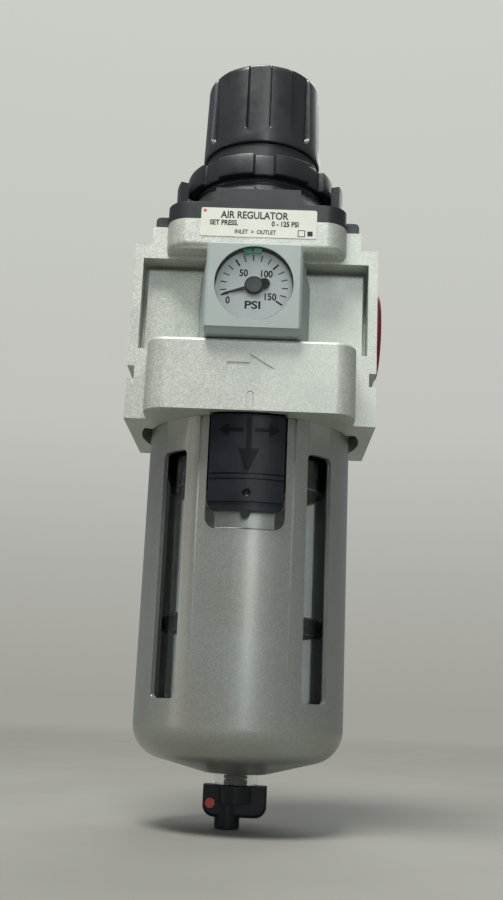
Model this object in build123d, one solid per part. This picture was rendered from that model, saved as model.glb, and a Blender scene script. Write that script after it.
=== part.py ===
from build123d import *
import os
from math import cos, radians, sin

# Air filter-regulator: a die-cast body between two pipe ports, a black bonnet with the
# setting knob above it, and a clear bowl in a metal guard below it. A square gauge is
# let into the front. Millimetres, +Z up.
#
# Each piece is modelled about the vertical axis of the regulator, with z = 0 at the
# height of the ports and the gauge towards -Y. The finished pieces are then shifted
# along X, so that the origin is the centre of the inlet port's mouth and the air flows
# towards +X.

# ---- driving dimensions --------------------------------------------------------------

port_face_width = 75.0        # inlet face to outlet face

# body casting
rail_depth = 45.0             # port faces, front to back
rail_top = 20.0
rail_wall = 2.8
body_bottom = -36.0
body_top = 25.8               # seam with the bonnet
step_width = 64.5             # raised shoulder between the two port rails
step_underside = 15.4
neck_panel_width = 66.8
neck_panel_depth = 35.0
neck_panel_height = 28.0
neck_core_depth = 28.0
lower_block_width = 61.6
body_overhang = 4.8           # front of the lower block, beyond the guard
lower_block_top = -14.4
lower_block_corner = 6.5
upper_block_width = 55.4
upper_block_depth = 59.2
upper_block_corner = 7.0
upper_block_bottom = 16.4
rail_notch_depth = 2.2
rail_notch_low = -23.7
rail_notch_high = -19.5
flow_arrow_depth = 0.3
flow_arrow_length = 13.8
flow_arrow_z = -23.4
turn_mark_width = 1.5         # bar at the lower edge, in line with the lock button's arrow
turn_mark_height = 5.4

# ports
port_radius = 12.55           # pitch radius of a 3/4 inch taper pipe thread
port_depth = 18.0
duct_radius = 8.0

# bonnet
flange_thickness = 5.6
boss_width = 26.0
boss_height = 4.8
bonnet_neck_radius = 18.6
panel_thread_radius = 21.3
panel_thread_bottom = 41.5
panel_thread_top = 52.0
side_shoulder_radius = 27.8
side_shoulder_top = 48.0
bonnet_screw_radius = 1.6
bonnet_screw_head_radius = 3.2
bonnet_screw_head_height = 2.6
bonnet_screw_x = 21.0
bonnet_screw_y = 23.5

# panel nut
panel_nut_radius = 24.5
panel_nut_thickness = 7.0
panel_nut_bottom = 44.5
panel_nut_notches = 8
panel_nut_phase = 3.2         # of the front notch, from the front

# knob and setting train
knob_bottom = 58.4
knob_top = 87.5
knob_top_radius = 18.8
knob_bottom_radius = 19.5
knob_flutes = 8
knob_flute_angle = 23.0
knob_flute_phase = -4.0       # of the front flute, from the front
knob_flute_depth = 0.9
setting_screw_radius = 5.0
regulating_spring_wire = 1.2
regulating_spring_radius = 9.0
regulating_spring_turns = 4.0
diaphragm_radius = 24.0
diaphragm_thickness = 1.5

# valve
valve_bore_radius = 6.5
valve_stem_radius = 2.0
seat_radius = 8.0
seat_bore_radius = 4.2

# bowl and guard
guard_radius = 31.2
guard_wall = 1.5
bowl_gap = 1.9                # between the bowl and its guard
bowl_wall = 2.0
guard_floor = 1.8
guard_bottom = -137.0
guard_corner = 10.0
dome_slope = 0.26             # fall of the guard's and bowl's domed bottoms
dome_flat_radius = 9.5
window_width = 9.8
window_top = -45.6
window_bottom = -116.5
window_angle = 43.5           # from the front, to each side
button_slot_width = 22.8
button_slot_bottom = -69.4
bayonet_reach = 2.7           # of each bayonet tab, out from the guard
bayonet_half_angle = 18.0
bayonet_thickness = 2.7

# lock button
button_proud = 2.2            # of the guard
button_width = 21.6
button_bottom = -64.3
button_travel = 4.0

# filter stack
element_radius = 16.0
element_wall = 4.5
element_top = -40.0
element_bottom = -90.0
deflector_gap = 1.8           # inside the bowl
deflector_bottom = -54.0
baffle_gap = 1.3              # inside the bowl
baffle_bottom = -97.0
stud_radius = 3.0

# drain cock
drain_neck_radius = 6.4
drain_neck_bottom = -140.2
drain_stem_radius = 3.5
drain_wing_width = 18.7
drain_wing_depth = 6.0
drain_wing_height = 8.9
drain_barrel_radius = 3.7
drain_barrel_offset = -2.1
drain_barrel_bottom = -152.5
drain_outlet_radius = 1.6

# gauge
gauge_size = 28.0
gauge_front = -39.7
gauge_flare = 3.0             # of each side, out from the front to the body
gauge_bezel_depth = 5.0       # straight part of the sides, behind the front
gauge_border = 2.5            # of the frame, around the window
gauge_lip = 1.1               # of the window, in from the dial chamber
gauge_center_z = 1.2
lens_depth = 0.65             # depths are measured back from the gauge's front
lens_thickness = 0.6
high_mark_depth = 1.45
low_mark_depth = 1.8
set_mark_thickness = 0.2
set_mark_band = 0.7           # width of the thin ring
set_mark_tab = 2.5            # reach of the tab, in from the ring's edge
hub_depth = 1.55
hub_thickness = 0.75
needle_depth = 2.4
needle_thickness = 0.35
dial_depth = 3.2
dial_thickness = 0.5
needle_tail = 3.1             # centre of the round tail, behind the spindle
gauge_hub_radius = 2.8
spindle_radius = 0.8
tube_radius = 8.5             # C-shaped pressure tube
tube_start = -60.0
needle_zero_angle = 196.0     # counter-clockwise from +X, seen from the front

# label and plug
label_width = 35.2
label_height = 9.3
label_center_z = 24.8
label_thickness = 0.15
plug_flange_radius = 14.3
plug_flange_height = 2.3

# clearances
running = 0.06                # radial, between pieces that turn or slide on each other
free = 0.3                    # between pieces that must not touch

# ---- places that follow from them ----------------------------------------------------

guard_inner = guard_radius - guard_wall
bowl_radius = guard_inner - bowl_gap
bayonet_radius = guard_radius + bayonet_reach
groove_radius = bayonet_radius + free
mouth_radius = guard_radius + free
button_radius = guard_radius + button_proud
deflector_radius = bowl_radius - bowl_wall - deflector_gap
baffle_radius = bowl_radius - bowl_wall - baffle_gap
port_x = port_face_width / 2
rail_y = rail_depth / 2
rail_inner_x = port_x - rail_wall
front_y = -guard_radius - body_overhang
label_y = -upper_block_depth / 2
panel_y = -neck_panel_depth / 2
flange_top = body_top + flange_thickness
boss_top = flange_top + boss_height
bonnet_neck_top = knob_bottom - free
hub_radius = knob_top_radius - 3.3
hub_top = knob_bottom + 11.0
guard_rim = body_bottom + 5.7
groove_bottom = body_bottom + 2.5
groove_top = guard_rim + free
bowl_collar_radius = guard_inner - 0.8
bowl_collar_bottom = groove_bottom + 0.5
bowl_top = -25.5
socket_top = bowl_top + 1.5
socket_radius = bowl_collar_radius + 0.15
seal_z = -27.9
seal_section = 1.0
button_top = body_bottom - free
ledge_top = button_bottom + 0.7
chamber_flats = 23.8
spring_nut_top = 50.0
spring_nut_thickness = 4.0
spring_seat_z = diaphragm_thickness + body_top + 0.5
plate_underside = body_top - diaphragm_thickness - 3.6
gauge_window_radius = gauge_size / 2 - gauge_border
gauge_case_bore = gauge_window_radius + gauge_lip
set_mark_radius = gauge_case_bore - 0.2
needle_length = gauge_window_radius - 2.1


# ---- helpers -------------------------------------------------------------------------

def block(x, y, z):
    """A box between pairs of limits."""
    centre = Pos((x[0] + x[1]) / 2, (y[0] + y[1]) / 2, (z[0] + z[1]) / 2)
    return centre * Box(x[1] - x[0], y[1] - y[0], z[1] - z[0])


def rod(radius, low, high, x=0.0, y=0.0):
    """An upright cylinder."""
    return Pos(x, y, (low + high) / 2) * Cylinder(radius, high - low)


def ring(outer, inner, low, high, x=0.0, y=0.0):
    return rod(outer, low, high, x, y) - rod(inner, low, high, x, y)


def rod_x(radius, start, end, y=0.0, z=0.0):
    """A cylinder along X."""
    return Pos((start + end) / 2, y, z) * Rot(0, 90, 0) * Cylinder(radius, abs(end - start))


def rod_y(radius, start, end, x=0.0, z=0.0):
    """A cylinder along Y."""
    return Pos(x, (start + end) / 2, z) * Rot(90, 0, 0) * Cylinder(radius, abs(end - start))


def prism(width, depth, corner, low, high):
    """An upright block with rounded vertical corners."""
    return Pos(0, 0, low) * extrude(RectangleRounded(width, depth, corner), high - low)


def facing(y):
    """A sketch plane that faces the front, with its own x along X and its y along Z."""
    return Plane(origin=(0, y, 0), x_dir=(1, 0, 0), z_dir=(0, -1, 0))


def turned(points):
    """A solid of revolution about the vertical axis, from (radius, z) points."""
    outline = Polyline([(r, 0, z) for r, z in points], close=True)
    return revolve(make_face(outline), Axis.Z)


def wedge(radius, half_angle, low, high, centre_angle):
    """A pie slice about the vertical axis, used to keep or cut a sector."""
    reach = radius / cos(radians(half_angle))
    left = (reach * cos(radians(half_angle)), reach * sin(radians(half_angle)))
    outline = Polyline([(0, 0), left, (left[0], -left[1])], close=True)
    slice_ = extrude(make_face(outline), high - low)
    return Rot(0, 0, centre_angle) * Pos(0, 0, low) * slice_


def sector(outer, inner, half_angle, low, high, centre_angle):
    return ring(outer, inner, low, high) & wedge(outer + 1, half_angle, low, high, centre_angle)


def coil_spring(mean_radius, wire_radius, low, high, turns, x=0.0, y=0.0):
    """A helical spring between two heights."""
    rise = high - low - 2 * wire_radius
    path = Helix(pitch=rise / turns, height=rise, radius=mean_radius)
    section = Plane(origin=path @ 0, z_dir=path % 0) * Circle(wire_radius)
    return Pos(x, y, low + wire_radius) * sweep(section, path=path, is_frenet=True)


def arrow(length, shaft, head, head_length):
    """A flat arrow that points along +X, centred on the origin."""
    tip = length / 2
    neck = tip - head_length
    upper = [(-tip, shaft / 2), (neck, shaft / 2), (neck, head / 2), (tip, 0)]
    lower = [(x, -y) for x, y in reversed(upper[:-1])]
    return make_face(Polyline(upper + lower, close=True))


# ---- body ----------------------------------------------------------------------------

def make_body():
    lower = prism(lower_block_width, -2 * front_y, lower_block_corner,
                  body_bottom, lower_block_top)
    top_edges = lower.edges().filter_by_position(Axis.Z, lower_block_top - 0.1,
                                                 lower_block_top + 0.1)
    lower = fillet(top_edges, 1.2)
    upper = prism(upper_block_width, upper_block_depth, upper_block_corner,
                  upper_block_bottom, body_top)
    low_edges = upper.edges().filter_by_position(Axis.Z, upper_block_bottom - 0.1,
                                                 upper_block_bottom + 0.1)
    upper = fillet(low_edges, 2.0)
    rails = block((-port_x, port_x), (-rail_y, rail_y), (body_bottom, rail_top))
    recess_z = (-neck_panel_height / 2, step_underside)
    for side in (-1, 1):
        y_limits = sorted((side * neck_core_depth / 2, side * (rail_y + 1)))
        rails -= block((-rail_inner_x, rail_inner_x), y_limits, recess_z)
        x_limits = sorted((side * port_x, side * (port_x - rail_notch_depth)))
        rails -= block(x_limits, (-rail_y, rail_y), (rail_notch_low, rail_notch_high))
    step = block((-step_width / 2, step_width / 2), (-rail_y, rail_y),
                 (step_underside, body_top))
    panel = block((-neck_panel_width / 2, neck_panel_width / 2), (panel_y, -panel_y),
                  (-neck_panel_height / 2, neck_panel_height / 2))
    panel = fillet(panel.edges().filter_by(Axis.X), 1.0)
    casting = lower + upper + rails + step + panel
    casting -= flow_arrow()

    # diaphragm recess and the outlet chamber under it
    casting -= rod(diaphragm_radius + free, body_top - diaphragm_thickness, body_top)
    casting -= rod(20.0, plate_underside - 1.6, body_top)
    casting -= rod(10.0, 2.0, 12.0)
    casting -= rod(valve_stem_radius + running, 11.0, 20.0)
    casting -= rod(1.2, 8.0, 21.0, 8.0)
    # valve seat pocket and the clean-air bore below it
    casting -= rod(seat_radius, -1.0, 3.0)
    casting -= rod(valve_bore_radius, socket_top - 1, 0.0)
    # outlet port, inlet port and the passage down to the bowl
    casting -= rod_x(port_radius, port_x, port_x - port_depth)
    casting -= rod_x(duct_radius, port_x - port_depth, 8.6)
    casting -= rod_x(port_radius, -port_x, port_depth - port_x)
    casting -= rod_x(duct_radius, port_depth - port_x, -11.5)
    casting -= rod(4.5, socket_top - 1, 0.0, -16.0)
    # bowl socket with its bayonet groove and four entry pockets
    casting -= rod(socket_radius, body_bottom, socket_top)
    casting -= rod(mouth_radius, body_bottom, groove_top)
    casting -= rod(groove_radius, groove_bottom, groove_top)
    for quarter in range(4):
        casting -= sector(groove_radius, mouth_radius - 1, bayonet_half_angle + 1.5,
                          body_bottom, groove_top, 90 * quarter)
    # gauge connection, and tapped holes for the bonnet screws
    casting -= rod_y(5.0 + running, panel_y - 1, -9.0, z=gauge_center_z)
    for x, y in screw_places():
        casting -= rod(bonnet_screw_radius + running, body_top - 9.0, body_top, x, y)
    return casting


def flow_arrow():
    """Cutter for the sunk arrow and the outlined bar on the front of the lower block."""
    on_front = facing(front_y - 1.0)
    shaft = flow_arrow_length - 7.2
    tail = Pos(-flow_arrow_length / 2 + shaft / 2, 0) * Rectangle(shaft, 3.4)
    head = make_face(Polyline([(shaft - flow_arrow_length / 2, 4.3),
                               (flow_arrow_length / 2, 0),
                               (shaft - flow_arrow_length / 2, -4.3)], close=True))
    sunk = Pos(0, flow_arrow_z) * (tail + head)
    bar_z = body_bottom + turn_mark_height / 2
    bar = RectangleRounded(turn_mark_width, turn_mark_height, turn_mark_width / 2 - 0.05)
    outline = offset(bar, 0.3) - bar
    sunk += Pos(0.2, bar_z) * outline
    return extrude(on_front * sunk, -1.0 - flow_arrow_depth)


def screw_places():
    return [(sx * bonnet_screw_x, sy * bonnet_screw_y) for sx in (-1, 1) for sy in (-1, 1)]


# ---- bonnet and its fastenings -------------------------------------------------------

def make_bonnet():
    flange = prism(upper_block_width, upper_block_depth, upper_block_corner,
                   body_top, flange_top)
    boss_y = upper_block_depth / 2
    boss = block((-boss_width / 2, boss_width / 2), (-boss_y, boss_y), (flange_top, boss_top))
    cone_top = panel_thread_bottom
    dome = turned([(0, flange_top - 1), (27.4, flange_top - 1), (27.4, flange_top + 1.5),
                   (panel_thread_radius + 1.0, cone_top), (0, cone_top)])
    thread = rod(panel_thread_radius, cone_top - 1, panel_thread_top)
    neck = rod(bonnet_neck_radius, panel_thread_top - 1, bonnet_neck_top)
    hub = rod(hub_radius, bonnet_neck_top - 1, hub_top)
    shell = flange + boss + dome + thread + neck + hub
    for angle in (0, 180):
        shoulder = sector(side_shoulder_radius, panel_nut_radius + 0.5, 22.0,
                          flange_top - 1, side_shoulder_top, angle)
        shell += shoulder
    for side in (-1, 1):
        tab_x = sorted((side * (upper_block_width / 2 - 1), side * 31.6))
        tab = block(tab_x, (-rail_y + 0.6, rail_y - 0.6), (body_top, body_top + 3.6))
        upper_outer = tab.edges().filter_by(Axis.Y).group_by(Axis.Z)[-1]
        corner = upper_outer.sort_by(Axis.X)[0 if side < 0 else -1]
        shell += fillet(corner, 1.4)
    # chamber for the spring; two flats keep the spring nut from turning
    chamber = rod(13.6, body_top - 1, spring_nut_top + 0.6)
    chamber &= block((-chamber_flats / 2 - running, chamber_flats / 2 + running), (-14, 14),
                     (body_top - 1, spring_nut_top + 1))
    shell -= chamber
    shell -= rod(19.0, body_top - 1, body_top + 3.2)
    # bearing for the setting screw, with its collar recess
    shell -= rod(setting_screw_radius + running, spring_nut_top, hub_top + 1)
    shell -= rod(8.0 + running, hub_top - 4.0, hub_top + 1)
    shell -= ring(hub_radius + 1, hub_radius - 0.5, bonnet_neck_top, bonnet_neck_top + 2.4)
    # counterbored screw holes
    for x, y in screw_places():
        shell -= rod(bonnet_screw_radius + 0.15, body_top, flange_top + 1, x, y)
        shell -= rod(bonnet_screw_head_radius + free, flange_top, flange_top + 20, x, y)
    return shell


def make_bonnet_screws():
    screws = []
    for x, y in screw_places():
        head = rod(bonnet_screw_head_radius, flange_top, flange_top + bonnet_screw_head_height,
                   x, y)
        rim = head.edges().filter_by(GeomType.CIRCLE).sort_by(Axis.Z)[-1]
        head = fillet(rim, 1.1)
        top = flange_top + bonnet_screw_head_height
        slot_a = Pos(x, y, top) * Box(3.4, 0.8, 2.0)
        slot_b = Pos(x, y, top) * Box(0.8, 3.4, 2.0)
        shank = rod(bonnet_screw_radius, body_top - 8.0, flange_top + 0.1, x, y)
        screws.append(head + shank - slot_a - slot_b)
    return screws[0] + screws[1:]


def make_panel_nut():
    top = panel_nut_bottom + panel_nut_thickness
    nut = ring(panel_nut_radius, panel_thread_radius + running, panel_nut_bottom, top)
    rims = nut.edges().filter_by(GeomType.CIRCLE).group_by(SortBy.RADIUS)[-1]
    nut = chamfer(rims, 0.5)
    step = 360 / panel_nut_notches
    notch = sector(panel_nut_radius + 1, panel_nut_radius - 1.5, 8.5,
                   panel_nut_bottom - 1, top + 1, 0)
    for index in range(panel_nut_notches):
        nut -= Rot(0, 0, -90 + panel_nut_phase + step * index) * notch
    return nut


def make_lock_band():
    low = bonnet_neck_top + 0.1
    return ring(hub_radius + 0.15, hub_radius - 0.45, low, low + 2.2)


# ---- knob and setting train ----------------------------------------------------------

def make_knob():
    skin = turned([(0, knob_bottom), (knob_bottom_radius, knob_bottom),
                   (knob_bottom_radius, knob_bottom + 2.6), (knob_top_radius, knob_top),
                   (0, knob_top)])
    top_rim = skin.edges().filter_by(GeomType.CIRCLE).sort_by(Axis.Z)[-1]
    skin = fillet(top_rim, 2.6)
    dish = rod(knob_top_radius - 4.5, knob_top - 0.8, knob_top + 1)
    knob = skin - dish
    flute_low = knob_bottom + 2.9
    step = 360 / knob_flutes
    cutter = sector(knob_bottom_radius + 3, knob_top_radius - knob_flute_depth,
                    knob_flute_angle / 2, flute_low, knob_top + 1, 0)
    for index in range(knob_flutes):
        knob -= Rot(0, 0, -90 + knob_flute_phase + step * index) * cutter
    knob -= rod(hub_radius + 0.4, knob_bottom - 1, hub_top + 2.6)
    socket = Pos(0, 0, hub_top) * extrude(RegularPolygon(7.0 + 0.15, 6), 14.2)
    return knob - socket


def make_setting_screw():
    shaft = rod(setting_screw_radius, 34.0, hub_top - 3.4)
    collar = rod(8.0, hub_top - 4.0 + running, hub_top - 0.5)
    drive = Pos(0, 0, hub_top - 1.0) * extrude(RegularPolygon(7.0, 6), 11.4)
    return shaft + collar + drive


def make_spring_nut():
    low = spring_nut_top - spring_nut_thickness
    nut = rod(13.3, low, spring_nut_top)
    nut &= block((-chamber_flats / 2, chamber_flats / 2), (-14, 14), (low, spring_nut_top))
    nut -= rod(setting_screw_radius + running, low - 1, spring_nut_top + 1)
    return nut - ring(10.6, 7.4, low - 1, low + 0.8)


def make_regulating_spring():
    high = spring_nut_top - spring_nut_thickness + 0.75
    return coil_spring(regulating_spring_radius, regulating_spring_wire,
                       spring_seat_z, high, regulating_spring_turns)


def make_spring_plate():
    """Seat of the regulating spring, riveted over the diaphragm."""
    plate = rod(13.0, body_top, spring_seat_z - 0.05)
    centring = rod(6.6, body_top, spring_seat_z + 2.5)
    return plate + centring - rod(valve_stem_radius + 0.6, body_top - 1, spring_seat_z + 3)


def make_diaphragm():
    low = body_top - diaphragm_thickness
    disc = rod(diaphragm_radius, low, body_top - 0.02)
    groove = ring(18.0, 15.0, low - 1, low + 0.5)
    return disc - groove - rod(valve_stem_radius + 0.6, low - 1, body_top + 1)


# ---- valve ---------------------------------------------------------------------------

def make_valve_stem():
    low = body_top - diaphragm_thickness
    stem = rod(valve_stem_radius, -12.0, low - 0.3)
    return stem + rod(5.0, low - 2.2, low - 0.3)


def make_valve_disc():
    disc = rod(5.8, -4.2, -1.05)
    return disc - rod(valve_stem_radius, -5, 0)


def make_valve_seat():
    seat = rod(seat_radius - 0.02, -1.0, 2.4)
    return seat - rod(seat_bore_radius, -2, 3)


def make_valve_spring():
    return coil_spring(4.4, 0.5, -16.9, -4.3, 5.0)


def make_valve_guide():
    """Plug that holds the valve spring and carries the filter stack."""
    spigot = rod(valve_bore_radius - 0.05, -25.0, -17.0)
    flange = rod(11.0, socket_top - 3.0, socket_top - 0.02)
    boss = rod(6.0, -36.0, -26.0)
    guide = spigot + flange + boss
    guide -= rod(valve_stem_radius + running, -20.0, -10.0)
    guide -= rod(stud_radius, -37.0, -30.0)
    for index in range(4):
        angle = radians(90 * index + 45)
        guide -= rod(1.0, -30.0, -10.0, 4.3 * cos(angle), 4.3 * sin(angle))
    return guide


# ---- filter stack --------------------------------------------------------------------

def make_element_stud():
    return rod(stud_radius - 0.02, baffle_bottom - 4.0, -35.8)


def make_deflector():
    top = element_top + 2.0
    cap = ring(deflector_radius, 6.4, top, top + 1.5)
    skirt = ring(deflector_radius, deflector_radius - 1.6, deflector_bottom, top + 1.5)
    hub = ring(element_radius + 1.4, element_radius - 1.5, top - 0.6, top)
    louvred = cap + skirt + hub
    slot = Pos(deflector_radius - 0.8, 0, (deflector_bottom + top) / 2)
    slot = slot * Rot(25, 0, 0) * Box(4.0, 1.6, 9.0)
    for index in range(16):
        louvred -= Rot(0, 0, 22.5 * index + 11) * slot
    return louvred


def make_element_gasket():
    return ring(element_radius, element_radius - element_wall, element_top, element_top + 1.35)


def make_filter_element():
    tube = ring(element_radius, element_radius - element_wall, element_bottom, element_top)
    for index in range(11):
        level = element_bottom + 4.2 * (index + 1)
        tube -= ring(element_radius + 1, element_radius - 0.5, level - 0.5, level + 0.5)
    return tube


def make_baffle():
    top = baffle_bottom + 5.0
    disc = turned([(stud_radius, top), (baffle_radius - 1.5, top), (baffle_radius, top - 1.0),
                   (baffle_radius, baffle_bottom), (baffle_radius - 1.5, baffle_bottom),
                   (baffle_radius - 1.5, top - 2.2), (stud_radius, top - 2.2)])
    seat = ring(element_radius + 1.2, stud_radius, top, element_bottom)
    hub = ring(6.0, stud_radius, baffle_bottom - 3.0, top)
    return disc + seat + hub


# ---- bowl and guard ------------------------------------------------------------------

def cup(radius, low, high, corner, slope=dome_slope):
    """Form of a domed cup: straight side, rounded corner, shallow dome and a flat."""
    knuckle_z = low + slope * (radius - dome_flat_radius)
    outline = Polyline([(0, 0, high), (radius, 0, high), (radius, 0, knuckle_z),
                        (dome_flat_radius, 0, low), (0, 0, low)], close=True)
    face = make_face(outline)
    knuckle = face.vertices().sort_by_distance((radius, 0, knuckle_z))[0]
    return revolve(fillet(knuckle, corner), Axis.Z)


def make_bowl():
    floor = guard_bottom + guard_floor
    outer = cup(bowl_radius, floor, bowl_collar_bottom + 1, guard_corner - 2,
                dome_slope + 0.03)
    outer += rod(bowl_collar_radius, bowl_collar_bottom, bowl_top)
    outer += rod(drain_neck_radius, drain_neck_bottom, floor + 1)
    inner = cup(bowl_radius - bowl_wall, floor + 2.5, bowl_top + 1, guard_corner - 4,
                dome_slope + 0.03)
    bowl = outer - inner
    bowl -= ring(bowl_collar_radius + 1, bowl_collar_radius - 2.0,
                 seal_z - 1.3, seal_z + 1.3)
    return bowl - rod(drain_stem_radius + running, drain_neck_bottom - 1, floor + 4)


def make_bowl_seal():
    return Pos(0, 0, seal_z) * Torus(socket_radius - 0.05 - seal_section, seal_section)


def make_bowl_guard():
    outer = cup(guard_radius, guard_bottom, guard_rim, guard_corner)
    inner = cup(guard_inner, guard_bottom + guard_floor, guard_rim + 1,
                guard_corner - guard_wall)
    shell = outer - inner
    shell -= rod(drain_neck_radius + 0.5, guard_bottom - 1, guard_bottom + 4)
    shell -= bowl_windows()
    for quarter in range(4):
        shell += sector(bayonet_radius, guard_inner + 0.5, bayonet_half_angle,
                        groove_bottom + free, groove_bottom + free + bayonet_thickness,
                        45 + 90 * quarter)
    return shell - button_slot() + button_ledge()


def bowl_windows():
    """Four upright windows, two at the front and two behind."""
    pane = block((guard_inner - 3, guard_radius + 3), (-window_width / 2, window_width / 2),
                 (window_bottom, window_top))
    pane = fillet(pane.edges().filter_by(Axis.X), 1.6)
    angles = [side + turn * window_angle for side in (-90, 90) for turn in (-1, 1)]
    cuts = Rot(0, 0, angles[0]) * pane
    for angle in angles[1:]:
        cuts += Rot(0, 0, angle) * pane
    return cuts


def button_slot():
    half = button_slot_width / 2
    slot = block((-half, half), (-guard_radius - 3, -guard_inner + 6),
                 (button_slot_bottom, guard_rim + 1))
    corners = slot.edges().filter_by(Axis.Y).group_by(Axis.Z)[0]
    return fillet(corners, 3.6)


def button_ledge():
    """Tab inside the guard, under the button, that the button's spring stands on."""
    low = button_slot_bottom - 1.6
    high = ledge_top
    tab = ring(guard_radius - 0.8, bowl_radius + 0.7, low, high)
    tab &= block((-8.5, 8.5), (-guard_radius, -20), (low, high))
    lip = ring(guard_radius - 0.3, guard_radius - 1.2, low + 1.0, low + 2.2)
    lip &= block((-8.5, 8.5), (-guard_radius, -20), (low, high))
    return tab + lip


# ---- lock button ---------------------------------------------------------------------

def make_lock_button():
    half = button_width / 2
    skirt_low = ledge_top + button_travel + free
    front_inner = guard_radius - 0.2
    shell = ring(button_radius, bowl_radius + 1.1, skirt_low, button_top)
    shell += ring(button_radius, front_inner, button_bottom, skirt_low)
    shell &= block((-half, half), (-button_radius - 1, -20), (button_bottom, button_top))
    # round the lower corners
    keep = block((-half, half), (-button_radius - 1, -20), (button_bottom, button_top))
    keep = fillet(keep.edges().filter_by(Axis.Y).group_by(Axis.Z)[0], 2.6)
    shell &= keep
    # guide lips behind the guard
    lips = ring(guard_inner - free, bowl_radius + 1.1 - 0.2, -58.0, -39.0)
    lips &= block((-half - 1.8, half + 1.8), (-guard_radius, -20), (-58.0, -39.0))
    shell += lips
    # finger ledge, grooves and dimple
    band = ring(button_radius + 0.5, button_radius - 1, button_bottom + 2.4,
                button_bottom + 3.3)
    shell += band & block((-half, half), (-button_radius - 1, -20),
                          (button_bottom, button_top))
    for level in (-53.9, -55.4):
        shell -= ring(button_radius + 1, button_radius - 0.4, level - 0.25, level + 0.25)
    shell -= Pos(0.3, -button_radius - 0.6, -59.4) * Sphere(1.4)
    # raised arrows: down to release, then left or right to turn the bowl
    signs = facing(-button_radius - 2) * (
        Pos(0.4, -44.6) * Rot(0, 0, -90) * arrow(16.6, 1.1, 5.6, 6.4)
        + Pos(5.6, -40.9) * arrow(7.2, 0.7, 3.4, 3.0)
        + Pos(-4.8, -40.9) * Rot(0, 0, 180) * arrow(7.2, 0.7, 3.4, 3.0))
    signs = extrude(signs, -6.0)
    shell += signs & ring(button_radius + 0.3, button_radius - 0.3, -54.0, button_top)
    # round nub under the ledge
    shell += rod_y(1.3, -button_radius + 0.1, -guard_radius - 0.4, x=0.2,
                   z=button_bottom - 0.7)
    # pocket for the spring
    return shell - block((-1.9, 1.9), (-32.1, -28.2), (button_bottom - 1, -50.0))


def make_button_spring():
    return coil_spring(1.25, 0.3, ledge_top + 0.05, -50.05, 8.0, y=-30.0)


# ---- drain cock ----------------------------------------------------------------------

def make_drain_cock():
    top = drain_neck_bottom - free
    low = top - drain_wing_height
    half = drain_wing_width / 2
    wing = block((-half, half), (-drain_wing_depth / 2, drain_wing_depth / 2), (low, top))
    lower = wing.edges().filter_by(Axis.Y).group_by(Axis.Z)[0]
    wing = fillet(lower, 3.4)
    wing = fillet(wing.edges().filter_by(Axis.Z), 1.0)
    barrel = rod(drain_barrel_radius, drain_barrel_bottom, top - 1, drain_barrel_offset)
    collar = rod(drain_neck_radius - 0.8, low + 4, top)
    stem = rod(drain_stem_radius, top - 0.5, guard_bottom + 8.0)
    head = rod(drain_stem_radius + 1.1, guard_bottom + 4.6, guard_bottom + 6.4)
    cock = wing + barrel + collar + stem + head
    cock -= ring(drain_stem_radius + 1, drain_stem_radius - 0.9, -138.9, -137.3)
    cock -= rod(drain_outlet_radius, drain_barrel_bottom - 1, low + 3.0, drain_barrel_offset)
    cock -= rod(1.3, low + 1.0, guard_bottom + 9)
    return cock


def make_drain_seal():
    section = 0.45
    return Pos(0, 0, -138.1) * Torus(drain_stem_radius + running - section - 0.02, section)


def make_drain_mark():
    low = drain_neck_bottom - free - drain_wing_height
    half = drain_wing_width / 2
    spot = Pos(-half + 2.2, 0, low + 3.9) * Rot(90, 0, 0) * Cylinder(1.4, 0.3)
    return Pos(0, -drain_wing_depth / 2 - 0.15, 0) * spot


# ---- gauge ---------------------------------------------------------------------------

def on_gauge(shape):
    return Pos(0, 0, gauge_center_z) * shape


def make_gauge_case():
    half = gauge_size / 2
    case = block((-half, half), (gauge_front, panel_y - 0.02), (-half, half))
    case = fillet(case.edges().filter_by(Axis.Y), 1.0)
    front = case.faces().sort_by(Axis.Y)[0]
    case = chamfer(front.edges(), 0.7)
    # bevel along the front's lower edge
    slope = Pos(0, gauge_front, -half) * Rot(40, 0, 0) * Box(gauge_size + 2, 3.0, 2.6)
    case -= slope
    # sides that widen towards the body, with sloping upper corners
    back = panel_y - 0.02
    wide = half + gauge_flare
    bezel_back = gauge_front + gauge_bezel_depth
    plan = make_face(Polyline([(-wide, back), (wide, back), (half, bezel_back),
                               (-half, bezel_back)], close=True))
    flare = Pos(0, 0, -half + 0.2) * extrude(plan, gauge_size - 1.2)
    sides = make_face(Polyline([(-wide, -half), (wide, -half), (wide, half - 5),
                                (half - 1, half - 1), (1 - half, half - 1),
                                (-wide, half - 5)], close=True))
    case += flare & extrude(facing(back) * sides, back - gauge_front)
    # openings: window, dial chamber, movement chamber and connection
    case -= on_gauge(rod_y(gauge_window_radius, gauge_front - 1, gauge_front + 3))
    case -= on_gauge(rod_y(gauge_case_bore, gauge_front + lens_depth - 0.05, panel_y - 4.0))
    case -= on_gauge(rod_y(5.0 + running, panel_y - 5, panel_y + 1))
    return case


def make_gauge_lens():
    start = gauge_front + lens_depth
    return on_gauge(rod_y(gauge_case_bore - 0.05, start, start + lens_thickness))


def make_gauge_dial():
    start = gauge_front + dial_depth
    disc = rod_y(gauge_case_bore - 0.05, start, start + dial_thickness)
    return on_gauge(disc - rod_y(0.9, start - 1, start + 1))


def make_gauge_spindle():
    return on_gauge(rod_y(spindle_radius, gauge_front + hub_depth + 0.55, -27.5))


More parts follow.
